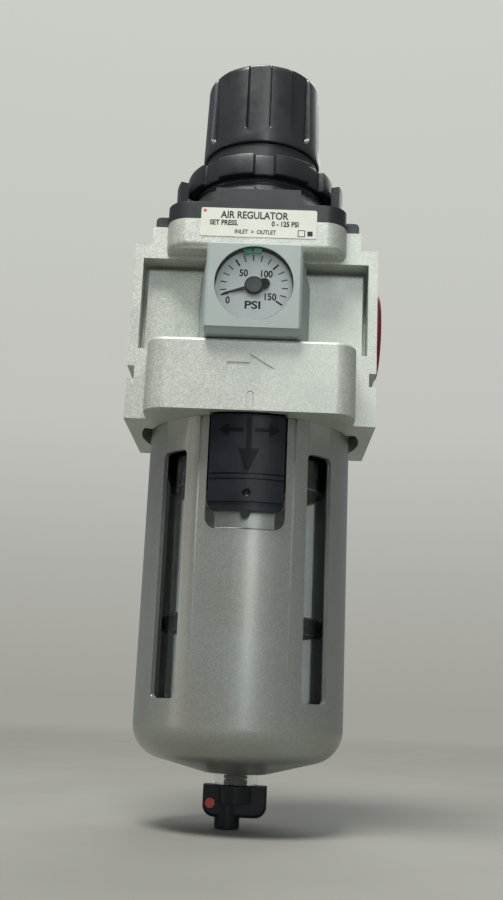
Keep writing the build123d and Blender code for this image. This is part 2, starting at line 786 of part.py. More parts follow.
def make_gauge_needle():
    y = gauge_front + needle_depth + needle_thickness
    tip = [(0, 0.75), (needle_length, 0.12)]
    outline = Polyline(tip + [(x, -v) for x, v in reversed(tip)], close=True)
    pointer = make_face(outline) + Circle(2.2) + Pos(-needle_tail, 0) * Circle(1.7)
    pointer -= Circle(spindle_radius)
    blade = extrude(facing(y) * Rot(0, 0, needle_zero_angle) * pointer,
                    needle_thickness)
    return on_gauge(blade)


def make_gauge_hub():
    y = gauge_front + hub_depth + hub_thickness
    cap = rod_y(gauge_hub_radius, y - hub_thickness, y)
    rim = cap.edges().filter_by(GeomType.CIRCLE).sort_by(Axis.Y)[0]
    return on_gauge(fillet(rim, 0.5) - rod_y(spindle_radius, y - 0.2, y + 1))


def make_set_mark(angle, depth):
    """Green set mark: a thin ring under the bezel with one tab towards the dial."""
    start = gauge_front + depth
    end = start + set_mark_thickness
    band = rod_y(set_mark_radius, start, end) - rod_y(set_mark_radius - set_mark_band, start - 1,
                                                     end + 1)
    tab = block((set_mark_radius - set_mark_tab, set_mark_radius - 0.5), (start, end),
                (-1.25, 1.25))
    return on_gauge(band + Rot(0, -angle, 0) * tab)


def make_gauge_socket():
    """Brass connection that screws into the body and feeds the pressure tube."""
    stem = rod_y(5.0, -25.0, -10.0)
    flange = rod_y(7.4, -23.5, -21.7)
    post = block((-2.5, 2.5), (-29.0, -24.0), (-9.2, 3.5))
    root_x = tube_radius * cos(radians(tube_start))
    root_z = tube_radius * sin(radians(tube_start))
    foot = Pos(root_x, -27.0, root_z) * Rot(0, -90 - tube_start, 0)
    foot = foot * Pos(-1.5 - 0.02, 0, 0) * Box(3.0, 3.0, 3.0)
    socket = stem + flange + post + foot
    socket -= rod_y(spindle_radius + running, -30.0, -27.2)
    socket -= rod_y(6, -14.6, -12.8) - rod_y(4.1, -15, -12)
    return on_gauge(socket - rod_y(1.0, -24.0, -9.0))


def make_pressure_tube():
    """C-shaped pressure tube of the gauge."""
    arc = CenterArc((0, 0, 0), tube_radius, tube_start, 270)
    section = Plane(origin=arc @ 0, z_dir=arc % 0) * Circle(1.1)
    tube = sweep(section, path=arc)
    return on_gauge(Pos(0, -27.0, 0) * Rot(90, 0, 0) * tube)


def make_gauge_seal():
    return on_gauge(Pos(0, -13.7, 0) * Rot(90, 0, 0) * Torus(4.1 + 0.45, 0.45))


# ---- label and plug ------------------------------------------------------------------

def make_label():
    sketch = Pos(0.5, label_center_z) * RectangleRounded(label_width, label_height, 0.6)
    return extrude(facing(label_y) * sketch, label_thickness)


def make_port_plug():
    flange = rod_x(plug_flange_radius, port_x + 0.02, port_x + plug_flange_height)
    rim = flange.edges().filter_by(GeomType.CIRCLE).sort_by(Axis.X)[-1]
    flange = fillet(rim, 1.2)
    stub = rod_x(port_radius - 0.09, port_x - 12.0, port_x + 0.5)
    plug = flange + stub
    plug -= rod_x(port_radius - 1.4, port_x - 13.0, port_x + 1.0)
    return plug


# ---- write every piece ---------------------------------------------------------------

pieces = {
    "body": make_body,
    "bonnet": make_bonnet,
    "bonnet_screws": make_bonnet_screws,
    "panel_nut": make_panel_nut,
    "lock_band": make_lock_band,
    "knob": make_knob,
    "setting_screw": make_setting_screw,
    "spring_nut": make_spring_nut,
    "regulating_spring": make_regulating_spring,
    "spring_plate": make_spring_plate,
    "diaphragm": make_diaphragm,
    "valve_stem": make_valve_stem,
    "valve_disc": make_valve_disc,
    "valve_seat": make_valve_seat,
    "valve_spring": make_valve_spring,
    "valve_guide": make_valve_guide,
    "element_stud": make_element_stud,
    "deflector": make_deflector,
    "element_gasket": make_element_gasket,
    "filter_element": make_filter_element,
    "baffle": make_baffle,
    "bowl": make_bowl,
    "bowl_seal": make_bowl_seal,
    "bowl_guard": make_bowl_guard,
    "lock_button": make_lock_button,
    "button_spring": make_button_spring,
    "drain_cock": make_drain_cock,
    "drain_seal": make_drain_seal,
    "drain_mark": make_drain_mark,
    "gauge_case": make_gauge_case,
    "gauge_lens": make_gauge_lens,
    "gauge_dial": make_gauge_dial,
    "gauge_spindle": make_gauge_spindle,
    "gauge_needle": make_gauge_needle,
    "gauge_hub": make_gauge_hub,
    "low_mark": lambda: make_set_mark(102.0, low_mark_depth),
    "high_mark": lambda: make_set_mark(86.0, high_mark_depth),
    "gauge_socket": make_gauge_socket,
    "pressure_tube": make_pressure_tube,
    "gauge_seal": make_gauge_seal,
    "label": make_label,
    "port_plug": make_port_plug,
}

os.makedirs("parts", exist_ok=True)
for name, make in pieces.items():
    export_step(Pos(port_x, 0, 0) * make(), f"parts/{name}.step")
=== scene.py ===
from math import cos, pi, radians, sin, sqrt
import bmesh
import bpy
from mathutils import Matrix, Vector


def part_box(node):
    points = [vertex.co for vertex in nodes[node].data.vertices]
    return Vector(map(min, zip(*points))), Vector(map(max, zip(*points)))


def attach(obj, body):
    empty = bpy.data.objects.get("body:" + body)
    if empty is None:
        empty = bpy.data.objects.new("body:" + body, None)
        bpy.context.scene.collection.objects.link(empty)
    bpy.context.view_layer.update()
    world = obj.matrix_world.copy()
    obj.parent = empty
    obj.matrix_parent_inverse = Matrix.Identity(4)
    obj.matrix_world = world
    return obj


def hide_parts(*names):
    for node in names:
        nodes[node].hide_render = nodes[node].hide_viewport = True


# Air filter-regulator with a gauge in its front, a grip knob above and a guarded bowl below.
# Pieces are drawn in millimetres about the upright axis, z = 0 at the ports, then settled
# in the frame, in metres.

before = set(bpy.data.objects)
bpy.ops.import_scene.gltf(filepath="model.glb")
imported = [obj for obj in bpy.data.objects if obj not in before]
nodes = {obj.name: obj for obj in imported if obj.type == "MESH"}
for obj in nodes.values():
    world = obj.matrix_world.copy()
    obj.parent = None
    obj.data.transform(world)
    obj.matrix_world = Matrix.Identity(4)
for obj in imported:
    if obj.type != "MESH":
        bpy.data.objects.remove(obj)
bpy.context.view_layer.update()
mm = 0.001
guardLow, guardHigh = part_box("bowl_guard")
axisX = (guardLow.x + guardHigh.x) / 2
toFrame = Matrix.Translation((axisX, 0, 0)) @ Matrix.Scale(mm, 4)
print("frame loaded")


# making pieces

def sizeOf(node):
    # a node's box in millimetres about the upright axis
    low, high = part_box(node)
    shift = Vector((axisX, 0, 0))
    return (low - shift) / mm, (high - shift) / mm


def smooth(share):
    share = min(1.0, max(0.0, share))
    return share * share * (3 - 2 * share)


def stitch(bm, low, high):
    # joins two rings of points, or a ring and a pole
    count = max(len(low), len(high))
    for i in range(count):
        j = (i + 1) % count
        corners = [low[i % len(low)], low[j % len(low)], high[j % len(high)], high[i % len(high)]]
        corners = list(dict.fromkeys(corners))
        if len(corners) > 2:
            bm.faces.new(corners)


def lathe(rows, steps=96, rule=None, closed=False):
    # turns (radius, z) rows about Z; the rule may change the radius with height and angle
    bm = bmesh.new()
    rings = []
    for radius, z in rows:
        if radius == 0:
            rings.append([bm.verts.new((0, 0, z))])
            continue
        ring = []
        for i in range(steps):
            angle = 2 * pi * i / steps
            reach = rule(radius, z, angle) if rule else radius
            ring.append(bm.verts.new((reach * cos(angle), reach * sin(angle), z)))
        rings.append(ring)
    pairs = list(zip(rings, rings[1:]))
    if closed:
        pairs.append((rings[-1], rings[0]))
    for low, high in pairs:
        stitch(bm, low, high)
    bmesh.ops.recalc_face_normals(bm, faces=bm.faces)
    return bm


def arcRows(centre, radius, start, end, count):
    # (radius, z) rows along a quarter round or any other arc, angles in degrees
    rows = []
    for i in range(count + 1):
        angle = radians(start + (end - start) * i / count)
        rows.append((centre[0] + radius * cos(angle), centre[1] + radius * sin(angle)))
    return rows


def box(size, centre=(0, 0, 0), bevel=0.0, segments=2):
    bm = bmesh.new()
    bmesh.ops.create_cube(bm, size=1.0)
    bmesh.ops.transform(bm, matrix=Matrix.Diagonal((*size, 1)), verts=bm.verts)
    if bevel:
        bmesh.ops.bevel(bm, geom=bm.edges[:], offset=bevel, segments=segments, affect="EDGES")
    bmesh.ops.translate(bm, vec=centre, verts=bm.verts)
    return bm


faceFront = Matrix.Rotation(radians(90), 4, "X")      # a flat sketch now faces the front


def newPiece(name, bm, body, materials, sharpAngle=32):
    mesh = bpy.data.meshes.new(name)
    bm.to_mesh(mesh)
    bm.free()
    return settle(name, mesh, body, materials, sharpAngle)


def settle(name, mesh, body, materials, sharpAngle=32, matrix=toFrame):
    mesh.transform(matrix)
    mesh.materials.clear()
    for material in materials:
        mesh.materials.append(material)
    mesh.polygons.foreach_set("use_smooth", [True] * len(mesh.polygons))
    mesh.set_sharp_from_angle(angle=radians(sharpAngle))
    piece = bpy.data.objects.new(name, mesh)
    bpy.context.scene.collection.objects.link(piece)
    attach(piece, body)
    return piece


def joined(meshes):
    # several meshes as one
    bm = bmesh.new()
    for mesh in meshes:
        bm.from_mesh(mesh)
    return bm


def words(text, size, x, z, y, widen=1.0, weight=0.0, depth=0.02):
    # printed words that face the front, centred on (x, z)
    curve = bpy.data.curves.new("words", "FONT")
    curve.body = text
    curve.size = size
    curve.align_x = "CENTER"
    curve.align_y = "CENTER"
    curve.offset = weight
    curve.extrude = depth
    curve.resolution_u = 4
    carrier = bpy.data.objects.new("words", curve)
    bpy.context.scene.collection.objects.link(carrier)
    bpy.context.view_layer.update()
    evaluated = carrier.evaluated_get(bpy.context.evaluated_depsgraph_get())
    mesh = bpy.data.meshes.new_from_object(evaluated)
    bpy.data.objects.remove(carrier)
    mesh.transform(Matrix.Translation((x, y, z)) @ faceFront @ Matrix.Diagonal((widen, 1, 1, 1)))
    return mesh


def softCopy(node, name, body, edge, materials):
    # a CAD piece with its sharp outside edges rounded; the rounding takes the last material
    bm = bmesh.new()
    bm.from_mesh(nodes[node].data)
    bmesh.ops.transform(bm, matrix=toFrame.inverted(), verts=bm.verts)
    bmesh.ops.remove_doubles(bm, verts=bm.verts, dist=edge["merge"])
    bmesh.ops.dissolve_limit(bm, angle_limit=radians(edge["flat"]), verts=bm.verts, edges=bm.edges)
    bm.normal_update()
    sharp = []
    for e in bm.edges:
        if len(e.link_faces) != 2 or not e.is_convex:
            continue
        if e.calc_face_angle(0.0) > radians(edge["angle"]) and edge["where"](e):
            sharp.append(e)
    corners = list({v for e in sharp for v in e.verts})
    bmesh.ops.bevel(bm, geom=sharp + corners, offset=edge["width"], segments=edge["segments"],
                    profile=0.5, affect="EDGES", clamp_overlap=True, loop_slide=True,
                    material=len(materials) - 1)
    piece = newPiece(name, bm, body, materials, edge.get("sharp", 30))
    fair = piece.modifiers.new("fair", "WEIGHTED_NORMAL")
    fair.keep_sharp = True
    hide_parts(node)
    return piece


# geometry node trees

def newTree(name, inputs):
    tree = bpy.data.node_groups.new(name, "GeometryNodeTree")
    tree.interface.new_socket("Geometry", in_out="INPUT", socket_type="NodeSocketGeometry")
    for label, kind, value in inputs:
        socket = tree.interface.new_socket(label, in_out="INPUT", socket_type="NodeSocket" + kind)
        if value is not None:
            socket.default_value = value
    tree.interface.new_socket("Finish", in_out="INPUT", socket_type="NodeSocketMaterial")
    tree.interface.new_socket("Geometry", in_out="OUTPUT", socket_type="NodeSocketGeometry")
    return tree


def addNode(tree, kind, **sockets):
    node = tree.nodes.new(kind)
    for label, value in sockets.items():
        target = node.inputs[label.replace("_", " ")]
        if isinstance(value, bpy.types.NodeSocket):
            tree.links.new(value, target)
        else:
            target.default_value = value
    return node


def maths(tree, operation, first, second=None):
    node = tree.nodes.new("ShaderNodeMath")
    node.operation = operation
    for index, value in enumerate((first, second)):
        if isinstance(value, bpy.types.NodeSocket):
            tree.links.new(value, node.inputs[index])
        elif value is not None:
            node.inputs[index].default_value = value
    return node.outputs[0]


def closeTree(tree, geometry, given):
    # every tree ends the same way: instances made real, then the finish
    real = addNode(tree, "GeometryNodeRealizeInstances", Geometry=geometry)
    painted = addNode(tree, "GeometryNodeSetMaterial", Geometry=real.outputs[0],
                      Material=given.outputs["Finish"])
    out = tree.nodes.new("NodeGroupOutput")
    tree.links.new(painted.outputs[0], out.inputs[0])


def ringTree():
    # copies of the piece about Z: turned outwards, spaced by an angle, each a step higher
    tree = newTree("ringOfPieces", [("Count", "Int", 8), ("First Angle", "Float", 0.0),
                                    ("Step Angle", "Float", 0.5), ("Radius", "Float", 10.0),
                                    ("Rise", "Float", 0.0)])
    given = tree.nodes.new("NodeGroupInput")
    index = tree.nodes.new("GeometryNodeInputIndex").outputs[0]
    angle = maths(tree, "ADD", given.outputs["First Angle"],
                  maths(tree, "MULTIPLY", index, given.outputs["Step Angle"]))
    radius = given.outputs["Radius"]
    spot = addNode(tree, "ShaderNodeCombineXYZ",
                   X=maths(tree, "MULTIPLY", radius, maths(tree, "COSINE", angle)),
                   Y=maths(tree, "MULTIPLY", radius, maths(tree, "SINE", angle)),
                   Z=maths(tree, "MULTIPLY", index, given.outputs["Rise"]))
    points = addNode(tree, "GeometryNodePoints", Count=given.outputs["Count"],
                     Position=spot.outputs[0])
    turn = addNode(tree, "ShaderNodeCombineXYZ", Z=angle)
    copies = addNode(tree, "GeometryNodeInstanceOnPoints", Points=points.outputs[0],
                     Instance=given.outputs["Geometry"])
    tree.links.new(turn.outputs[0], copies.inputs["Rotation"])
    closeTree(tree, copies.outputs[0], given)
    return tree


def cornerTree():
    # four copies of the piece at the corners of a rectangle, each turned by chance
    tree = newTree("fourCorners", [("Width", "Float", 40.0), ("Depth", "Float", 40.0),
                                   ("Height", "Float", 0.0), ("Seed", "Int", 3)])
    given = tree.nodes.new("NodeGroupInput")
    grid = addNode(tree, "GeometryNodeMeshGrid", Size_X=given.outputs["Width"],
                   Size_Y=given.outputs["Depth"], Vertices_X=2, Vertices_Y=2)
    lift = addNode(tree, "ShaderNodeCombineXYZ", Z=given.outputs["Height"])
    raised = addNode(tree, "GeometryNodeTransform", Geometry=grid.outputs[0],
                     Translation=lift.outputs[0])
    chance = tree.nodes.new("FunctionNodeRandomValue")
    chance.data_type = "FLOAT"
    chance.inputs[3].default_value = 2 * pi
    tree.links.new(given.outputs["Seed"], chance.inputs["Seed"])
    turn = addNode(tree, "ShaderNodeCombineXYZ", Z=chance.outputs[1])
    copies = addNode(tree, "GeometryNodeInstanceOnPoints", Points=raised.outputs[0],
                     Instance=given.outputs["Geometry"])
    tree.links.new(turn.outputs[0], copies.inputs["Rotation"])
    closeTree(tree, copies.outputs[0], given)
    return tree


def threadTree():
    # a ridge wound up a cylinder: a spiral with a three-cornered section
    tree = newTree("screwThread", [("Radius", "Float", 20.0), ("Turns", "Float", 4.0),
                                   ("Height", "Float", 6.0), ("Ridge", "Float", 0.5)])
    given = tree.nodes.new("NodeGroupInput")
    spiral = addNode(tree, "GeometryNodeCurveSpiral", Resolution=72,
                     Rotations=given.outputs["Turns"], Start_Radius=given.outputs["Radius"],
                     End_Radius=given.outputs["Radius"], Height=given.outputs["Height"])
    section = addNode(tree, "GeometryNodeCurvePrimitiveCircle", Resolution=6,
                      Radius=given.outputs["Ridge"])
    ridge = addNode(tree, "GeometryNodeCurveToMesh", Curve=spiral.outputs[0])
    tree.links.new(section.outputs[0], ridge.inputs["Profile Curve"])
    ridge.inputs["Fill Caps"].default_value = True
    closeTree(tree, ridge.outputs[0], given)
    return tree


def runTree(tree, bm, values, finish):
    # the tree's result on a drawn mesh, as a plain mesh
    mesh = bpy.data.meshes.new("drawn")
    if bm:
        bm.to_mesh(mesh)
        bm.free()
    carrier = bpy.data.objects.new("drawn", mesh)
    bpy.context.scene.collection.objects.link(carrier)
    modifier = carrier.modifiers.new("rule", "NODES")
    modifier.node_group = tree
    for item in tree.interface.items_tree:
        if item.in_out == "INPUT" and item.name in values:
            modifier[item.identifier] = values[item.name]
        if item.in_out == "INPUT" and item.name == "Finish":
            modifier[item.identifier] = finish
    bpy.context.view_layer.update()
    evaluated = carrier.evaluated_get(bpy.context.evaluated_depsgraph_get())
    made = bpy.data.meshes.new_from_object(evaluated)
    carrier.modifiers.remove(modifier)
    bpy.data.objects.remove(carrier)
    return made


ringOfPieces = ringTree()
fourCorners = cornerTree()
screwThread = threadTree()
print("node trees built")


# materials

def newMaterial(name):
    material = bpy.data.materials.new(name)
    material.use_nodes = True
    tree = material.node_tree
    tree.nodes.clear()
    shader = tree.nodes.new("ShaderNodeBsdfPrincipled")
    out = tree.nodes.new("ShaderNodeOutputMaterial")
    tree.links.new(shader.outputs[0], out.inputs[0])
    return material, tree, shader


def noise(tree, size, detail=2.0, stretch=(1, 1, 1)):
    # noise on the piece's own coordinates; size is the grain in millimetres
    place = tree.nodes.new("ShaderNodeTexCoord")
    scaled = tree.nodes.new("ShaderNodeMapping")
    scaled.inputs["Scale"].default_value = stretch
    tree.links.new(place.outputs["Object"], scaled.inputs["Vector"])
    grain = tree.nodes.new("ShaderNodeTexNoise")
    grain.inputs["Scale"].default_value = 1 / (size * mm)
    grain.inputs["Detail"].default_value = detail
    tree.links.new(scaled.outputs[0], grain.inputs["Vector"])
    return grain.outputs["Fac"]


def cells(tree, size):
    # cells of random brightness, for flakes and grains
    place = tree.nodes.new("ShaderNodeTexCoord")
    grain = tree.nodes.new("ShaderNodeTexVoronoi")
    grain.inputs["Scale"].default_value = 1 / (size * mm)
    tree.links.new(place.outputs["Object"], grain.inputs["Vector"])
    parts = tree.nodes.new("ShaderNodeSeparateColor")
    tree.links.new(grain.outputs["Color"], parts.inputs[0])
    return parts.outputs[0]


def ramp(tree, source, stops):
    shade = tree.nodes.new("ShaderNodeValToRGB")
    tree.links.new(source, shade.inputs[0])
    while len(shade.color_ramp.elements) < len(stops):
        shade.color_ramp.elements.new(0.5)
    for element, (place, colour) in zip(shade.color_ramp.elements, stops):
        element.position = place
        element.color = (*colour, 1)
    return shade.outputs[0]


def between(tree, source, low, high):
    spread = tree.nodes.new("ShaderNodeMapRange")
    tree.links.new(source, spread.inputs["Value"])
    spread.inputs["From Min"].default_value = 0.3
    spread.inputs["From Max"].default_value = 0.7
    spread.inputs["To Min"].default_value = low
    spread.inputs["To Max"].default_value = high
    return spread.outputs[0]


def blended(tree, first, second, share, mode="MIX"):
    mix = tree.nodes.new("ShaderNodeMix")
    mix.data_type = "RGBA"
    mix.blend_type = mode
    mix.inputs[0].default_value = share
    tree.links.new(first, mix.inputs[6])
    tree.links.new(second, mix.inputs[7])
    return mix.outputs[2]


def raised(tree, shader, layers):
    # bump from several heights, each (source, strength, depth in millimetres)
    last = None
    for source, strength, depth in layers:
        bump = tree.nodes.new("ShaderNodeBump")
        bump.inputs["Strength"].default_value = strength
        bump.inputs["Distance"].default_value = depth * mm
        tree.links.new(source, bump.inputs["Height"])
        if last:
            tree.links.new(last, bump.inputs["Normal"])
        last = bump.outputs[0]
    tree.links.new(last, shader.inputs["Normal"])


def flakePaint(name, look):
    # metallic paint: small flakes of three tones over a clouded coat
    material, tree, shader = newMaterial(name)
    flakes = cells(tree, look["flakeSize"])
    tone = ramp(tree, flakes, [(0.0, look["dark"]), (0.5, look["mid"]), (0.93, look["light"])])
    cloud = ramp(tree, noise(tree, look["cloudSize"], 3.0),
                 [(0.35, look["cloudDark"]), (0.65, look["cloudLight"])])
    tree.links.new(blended(tree, tone, cloud, look["cloudShare"], "MULTIPLY"),
                   shader.inputs["Base Color"])
    shader.inputs["Metallic"].default_value = look["metallic"]
    tree.links.new(between(tree, flakes, *look["roughness"]), shader.inputs["Roughness"])
    shader.inputs["Coat Weight"].default_value = look["coat"]
    shader.inputs["Coat Roughness"].default_value = look["coatRoughness"]
    raised(tree, shader, [(flakes, look["flakeBump"], 0.05),
                          (noise(tree, look["peelSize"]), look["peelBump"], 0.1)])
    return material


def moulded(name, look):
    # moulded plastic or rubber: two close tones, fine skin texture, uneven gloss
    material, tree, shader = newMaterial(name)
    tree.links.new(ramp(tree, noise(tree, look["cloudSize"], 4.0),
                        [(0.3, look["dark"]), (0.7, look["light"])]),
                   shader.inputs["Base Color"])
    tree.links.new(between(tree, noise(tree, look["cloudSize"] / 3, 5.0), *look["roughness"]),
                   shader.inputs["Roughness"])
    shader.inputs["Specular IOR Level"].default_value = look["specular"]
    raised(tree, shader, [(noise(tree, look["skinSize"], 3.0), look["skinBump"], 0.06)])
    return material


def worked(name, look):
    # bare metal with fine tool marks drawn along one direction
    material, tree, shader = newMaterial(name)
    marks = noise(tree, look["markSize"], 3.0, look["along"])
    tree.links.new(ramp(tree, marks, [(0.3, look["dark"]), (0.7, look["light"])]),
                   shader.inputs["Base Color"])
    shader.inputs["Metallic"].default_value = look["metallic"]
    tree.links.new(between(tree, marks, *look["roughness"]), shader.inputs["Roughness"])
    raised(tree, shader, [(marks, look["markBump"], 0.03)])
    return material


def clear(name, look):
    # clear plastic with faint mould haze
    material, tree, shader = newMaterial(name)
    haze = noise(tree, look["hazeSize"], 3.0)
    tree.links.new(ramp(tree, haze, [(0.3, look["dark"]), (0.7, look["light"])]),
                   shader.inputs["Base Color"])
    tree.links.new(between(tree, haze, *look["roughness"]), shader.inputs["Roughness"])
    shader.inputs["Transmission Weight"].default_value = 1.0
    shader.inputs["IOR"].default_value = look["ior"]
    raised(tree, shader, [(haze, look["hazeBump"], 0.05)])
    return material


castLook = dict(dark=(0.45, 0.47, 0.435), mid=(0.53, 0.555, 0.515), light=(0.66, 0.685, 0.64),
                flakeSize=0.26, cloudSize=14.0, cloudDark=(0.86, 0.87, 0.86),
                cloudLight=(1.0, 1.0, 0.98), cloudShare=0.8, metallic=0.45,
                roughness=(0.36, 0.54), coat=0.12, coatRoughness=0.3, flakeBump=0.22,
                peelSize=1.1, peelBump=0.12)
# the cast paint in a lighter tone for the rounded edges: a painted highlight along them
castEdgeHighlightLook = dict(castLook, dark=(0.46, 0.47, 0.43), mid=(0.66, 0.67, 0.62))
guardLook = dict(dark=(0.31, 0.32, 0.305), mid=(0.345, 0.355, 0.34), light=(0.40, 0.41, 0.395),
                 flakeSize=0.20, cloudSize=22.0, cloudDark=(0.93, 0.90, 0.85),
                 cloudLight=(0.97, 1.0, 0.98), cloudShare=0.8, metallic=0.62,
                 roughness=(0.30, 0.42), coat=0.3, coatRoughness=0.22, flakeBump=0.08,
                 peelSize=1.6, peelBump=0.08)
# a light metal finish for the guard's cut edges: a painted highlight along them
guardEdgeHighlightLook = dict(dark=(0.62, 0.63, 0.60), light=(0.82, 0.83, 0.80), markSize=0.5,
                    along=(1, 1, 0.3), metallic=0.8, roughness=(0.22, 0.38), markBump=0.1)
blackLook = dict(dark=(0.013, 0.015, 0.018), light=(0.022, 0.025, 0.029), cloudSize=9.0,
                 roughness=(0.34, 0.46), specular=0.5, skinSize=0.35, skinBump=0.10)
knobLook = dict(dark=(0.016, 0.019, 0.021), light=(0.026, 0.030, 0.032), cloudSize=12.0,
                roughness=(0.27, 0.36), specular=0.55, skinSize=0.5, skinBump=0.06)
buttonLook = dict(dark=(0.007, 0.010, 0.014), light=(0.011, 0.015, 0.021), cloudSize=8.0,
                  roughness=(0.32, 0.42), specular=0.28, skinSize=0.3, skinBump=0.10)
rubberLook = dict(dark=(0.012, 0.012, 0.012), light=(0.022, 0.022, 0.022), cloudSize=4.0,
                  roughness=(0.55, 0.75), specular=0.4, skinSize=0.2, skinBump=0.25)
frameLook = dict(dark=(0.34, 0.39, 0.38), light=(0.375, 0.425, 0.415), cloudSize=10.0,
                 roughness=(0.42, 0.55), specular=0.4, skinSize=0.25, skinBump=0.15)
orangeLook = dict(frameLook, dark=(0.65, 0.20, 0.03), light=(0.78, 0.26, 0.05))
redLook = dict(frameLook, dark=(0.22, 0.010, 0.022), light=(0.28, 0.016, 0.032),
               roughness=(0.3, 0.42))
dialLook = dict(dark=(0.87, 0.93, 0.94), light=(0.90, 0.96, 0.97), cloudSize=6.0,
                roughness=(0.5, 0.6), specular=0.3, skinSize=0.3, skinBump=0.05)
labelLook = dict(dialLook, dark=(0.66, 0.67, 0.60), light=(0.70, 0.71, 0.64),
                 roughness=(0.36, 0.46))
inkLook = dict(dark=(0.012, 0.013, 0.014), light=(0.025, 0.026, 0.028), cloudSize=1.0,
               roughness=(0.5, 0.65), specular=0.3, skinSize=0.15, skinBump=0.05)
greenLook = dict(frameLook, dark=(0.08, 0.42, 0.29), light=(0.12, 0.50, 0.36))
arrowLook = dict(buttonLook, dark=(0.002, 0.003, 0.004), light=(0.004, 0.005, 0.006), specular=0.15)
redInkLook = dict(frameLook, dark=(0.50, 0.06, 0.05), light=(0.62, 0.10, 0.08))
hubLook = dict(frameLook, dark=(0.085, 0.09, 0.088), light=(0.115, 0.12, 0.118),
               roughness=(0.4, 0.5))
filterLook = dict(dark=(0.62, 0.60, 0.54), light=(0.78, 0.77, 0.71), cloudSize=1.2,
                  roughness=(0.8, 0.95), specular=0.2, skinSize=0.25, skinBump=0.7)
steelLook = dict(dark=(0.60, 0.61, 0.61), light=(0.78, 0.79, 0.79), markSize=0.4,
                 along=(1, 1, 0.25), metallic=1.0, roughness=(0.18, 0.32), markBump=0.12)
springLook = dict(steelLook, dark=(0.38, 0.38, 0.39), light=(0.56, 0.56, 0.57))
brassLook = dict(steelLook, dark=(0.52, 0.39, 0.16), light=(0.66, 0.50, 0.23))
bowlLook = dict(dark=(0.84, 0.88, 0.87), light=(0.93, 0.96, 0.95), hazeSize=6.0,
                roughness=(0.02, 0.07), ior=1.5, hazeBump=0.05)
lensLook = dict(bowlLook, dark=(0.97, 0.98, 0.98), light=(1.0, 1.0, 1.0),
                roughness=(0.01, 0.03), hazeSize=9.0, hazeBump=0.01)

castMetal = flakePaint("castMetal", castLook)
castEdgeHighlight = flakePaint("castEdgeHighlight", castEdgeHighlightLook)
guardCoat = flakePaint("guardCoat", guardLook)
guardEdgeHighlight = worked("guardEdgeHighlight", guardEdgeHighlightLook)
blackPlastic = moulded("blackPlastic", blackLook)
knobPlastic = moulded("knobPlastic", knobLook)
buttonPlastic = moulded("buttonPlastic", buttonLook)
blackRubber = moulded("blackRubber", rubberLook)
gaugeGrey = moulded("gaugeGrey", frameLook)
orangePlastic = moulded("orangePlastic", orangeLook)
redPlastic = moulded("redPlastic", redLook)
dialWhite = moulded("dialWhite", dialLook)
labelFilm = moulded("labelFilm", labelLook)
blackInk = moulded("blackInk", inkLook)
greenPaint = moulded("greenPaint", greenLook)
arrowBlack = moulded("arrowBlack", arrowLook)
redInk = moulded("redInk", redInkLook)
hubGrey = moulded("hubGrey", hubLook)
filterFelt = moulded("filterFelt", filterLook)
brightSteel = worked("brightSteel", steelLook)
springSteel = worked("springSteel", springLook)
brass = worked("brass", brassLook)
clearBowl = clear("clearBowl", bowlLook)
clearLens = clear("clearLens", lensLook)

finishes = {
    "die_cast": castMetal, "guard_paint": guardCoat, "black_plastic": blackPlastic,
    "knob_plastic": knobPlastic, "orange_plastic": orangePlastic, "red_plastic": redPlastic,
    "clear_bowl": clearBowl, "gauge_clear": clearLens, "gauge_frame": gaugeGrey,
    "dial_white": dialWhite, "needle_black": blackInk, "green_paint": greenPaint,
    "red_paint": redInk, "label_film": labelFilm, "filter_medium": filterFelt,
    "brass": brass, "bright_steel": brightSteel, "spring_steel": springSteel,
    "black_rubber": blackRubber,
}
for node in nodes.values():
    for place in node.material_slots:
        place.material = finishes[place.material.name]
print("materials made")


# castings and covers that keep their CAD shape

def everywhere(edge):
    return True


def outsideWindows(edge):
    # the guard's cut edges, and not the rings inside the body
    return max(v.co.z for v in edge.verts) < sizeOf("body")[0].z - 0.2


bodyEdge = dict(merge=0.004, flat=0.8, angle=40, width=0.35, segments=2, where=everywhere)
bonnetEdge = dict(merge=0.004, flat=0.8, angle=40, width=0.3, segments=2, where=everywhere)
guardEdge = dict(merge=0.004, flat=0.8, angle=40, width=0.22, segments=2, where=outsideWindows)
buttonEdge = dict(merge=0.004, flat=0.5, angle=40, width=0.12, segments=2, where=everywhere)
caseEdge = dict(merge=0.004, flat=0.8, angle=25, width=0.22, segments=2, where=everywhere)
cockEdge = dict(merge=0.004, flat=0.8, angle=40, width=0.2, segments=2, where=everywhere)
needleEdge = dict(merge=0.002, flat=0.8, angle=40, width=0.06, segments=1, where=everywhere)

# the body's rounded edges take the lighter copy of the paint, a painted highlight
softCopy("body", "castBody", "housing", bodyEdge, [castMetal, castEdgeHighlight])
softCopy("bonnet", "bonnetCover", "housing", bonnetEdge, [blackPlastic])
# the guard's cut edges take the light metal finish, a painted highlight
softCopy("bowl_guard", "bowlGuard", "bowl", guardEdge, [guardCoat, guardEdgeHighlight])
softCopy("lock_button", "lockButton", "lock_button", buttonEdge,
         [buttonPlastic])
softCopy("gauge_case", "gaugeCase", "housing", caseEdge, [gaugeGrey])
softCopy("drain_cock", "drainCock", "drain", cockEdge, [buttonPlastic])
softCopy("gauge_needle", "gaugeNeedle", "needle", needleEdge, [blackInk])
softCopy("port_plug", "portPlug", "port_plug", cockEdge, [redPlastic])
print("castings and covers rounded")


# lock button arrows
# down to release, left and right to turn; each wraps round the button's face
arrowSizes = dict(ledge=0.5, skinLow=0.05, skinHigh=0.36, columns=12, point=0.01)
arrowSet = [dict(tail=(0.4, -36.4), tip=(0.4, -53.0), shaft=0.75, head=2.9, headLength=6.4),
            dict(tail=(2.0, -40.9), tip=(9.2, -40.9), shaft=0.4, head=1.75, headLength=3.0),
            dict(tail=(-1.2, -40.9), tip=(-8.4, -40.9), shaft=0.4, head=1.75, headLength=3.0)]


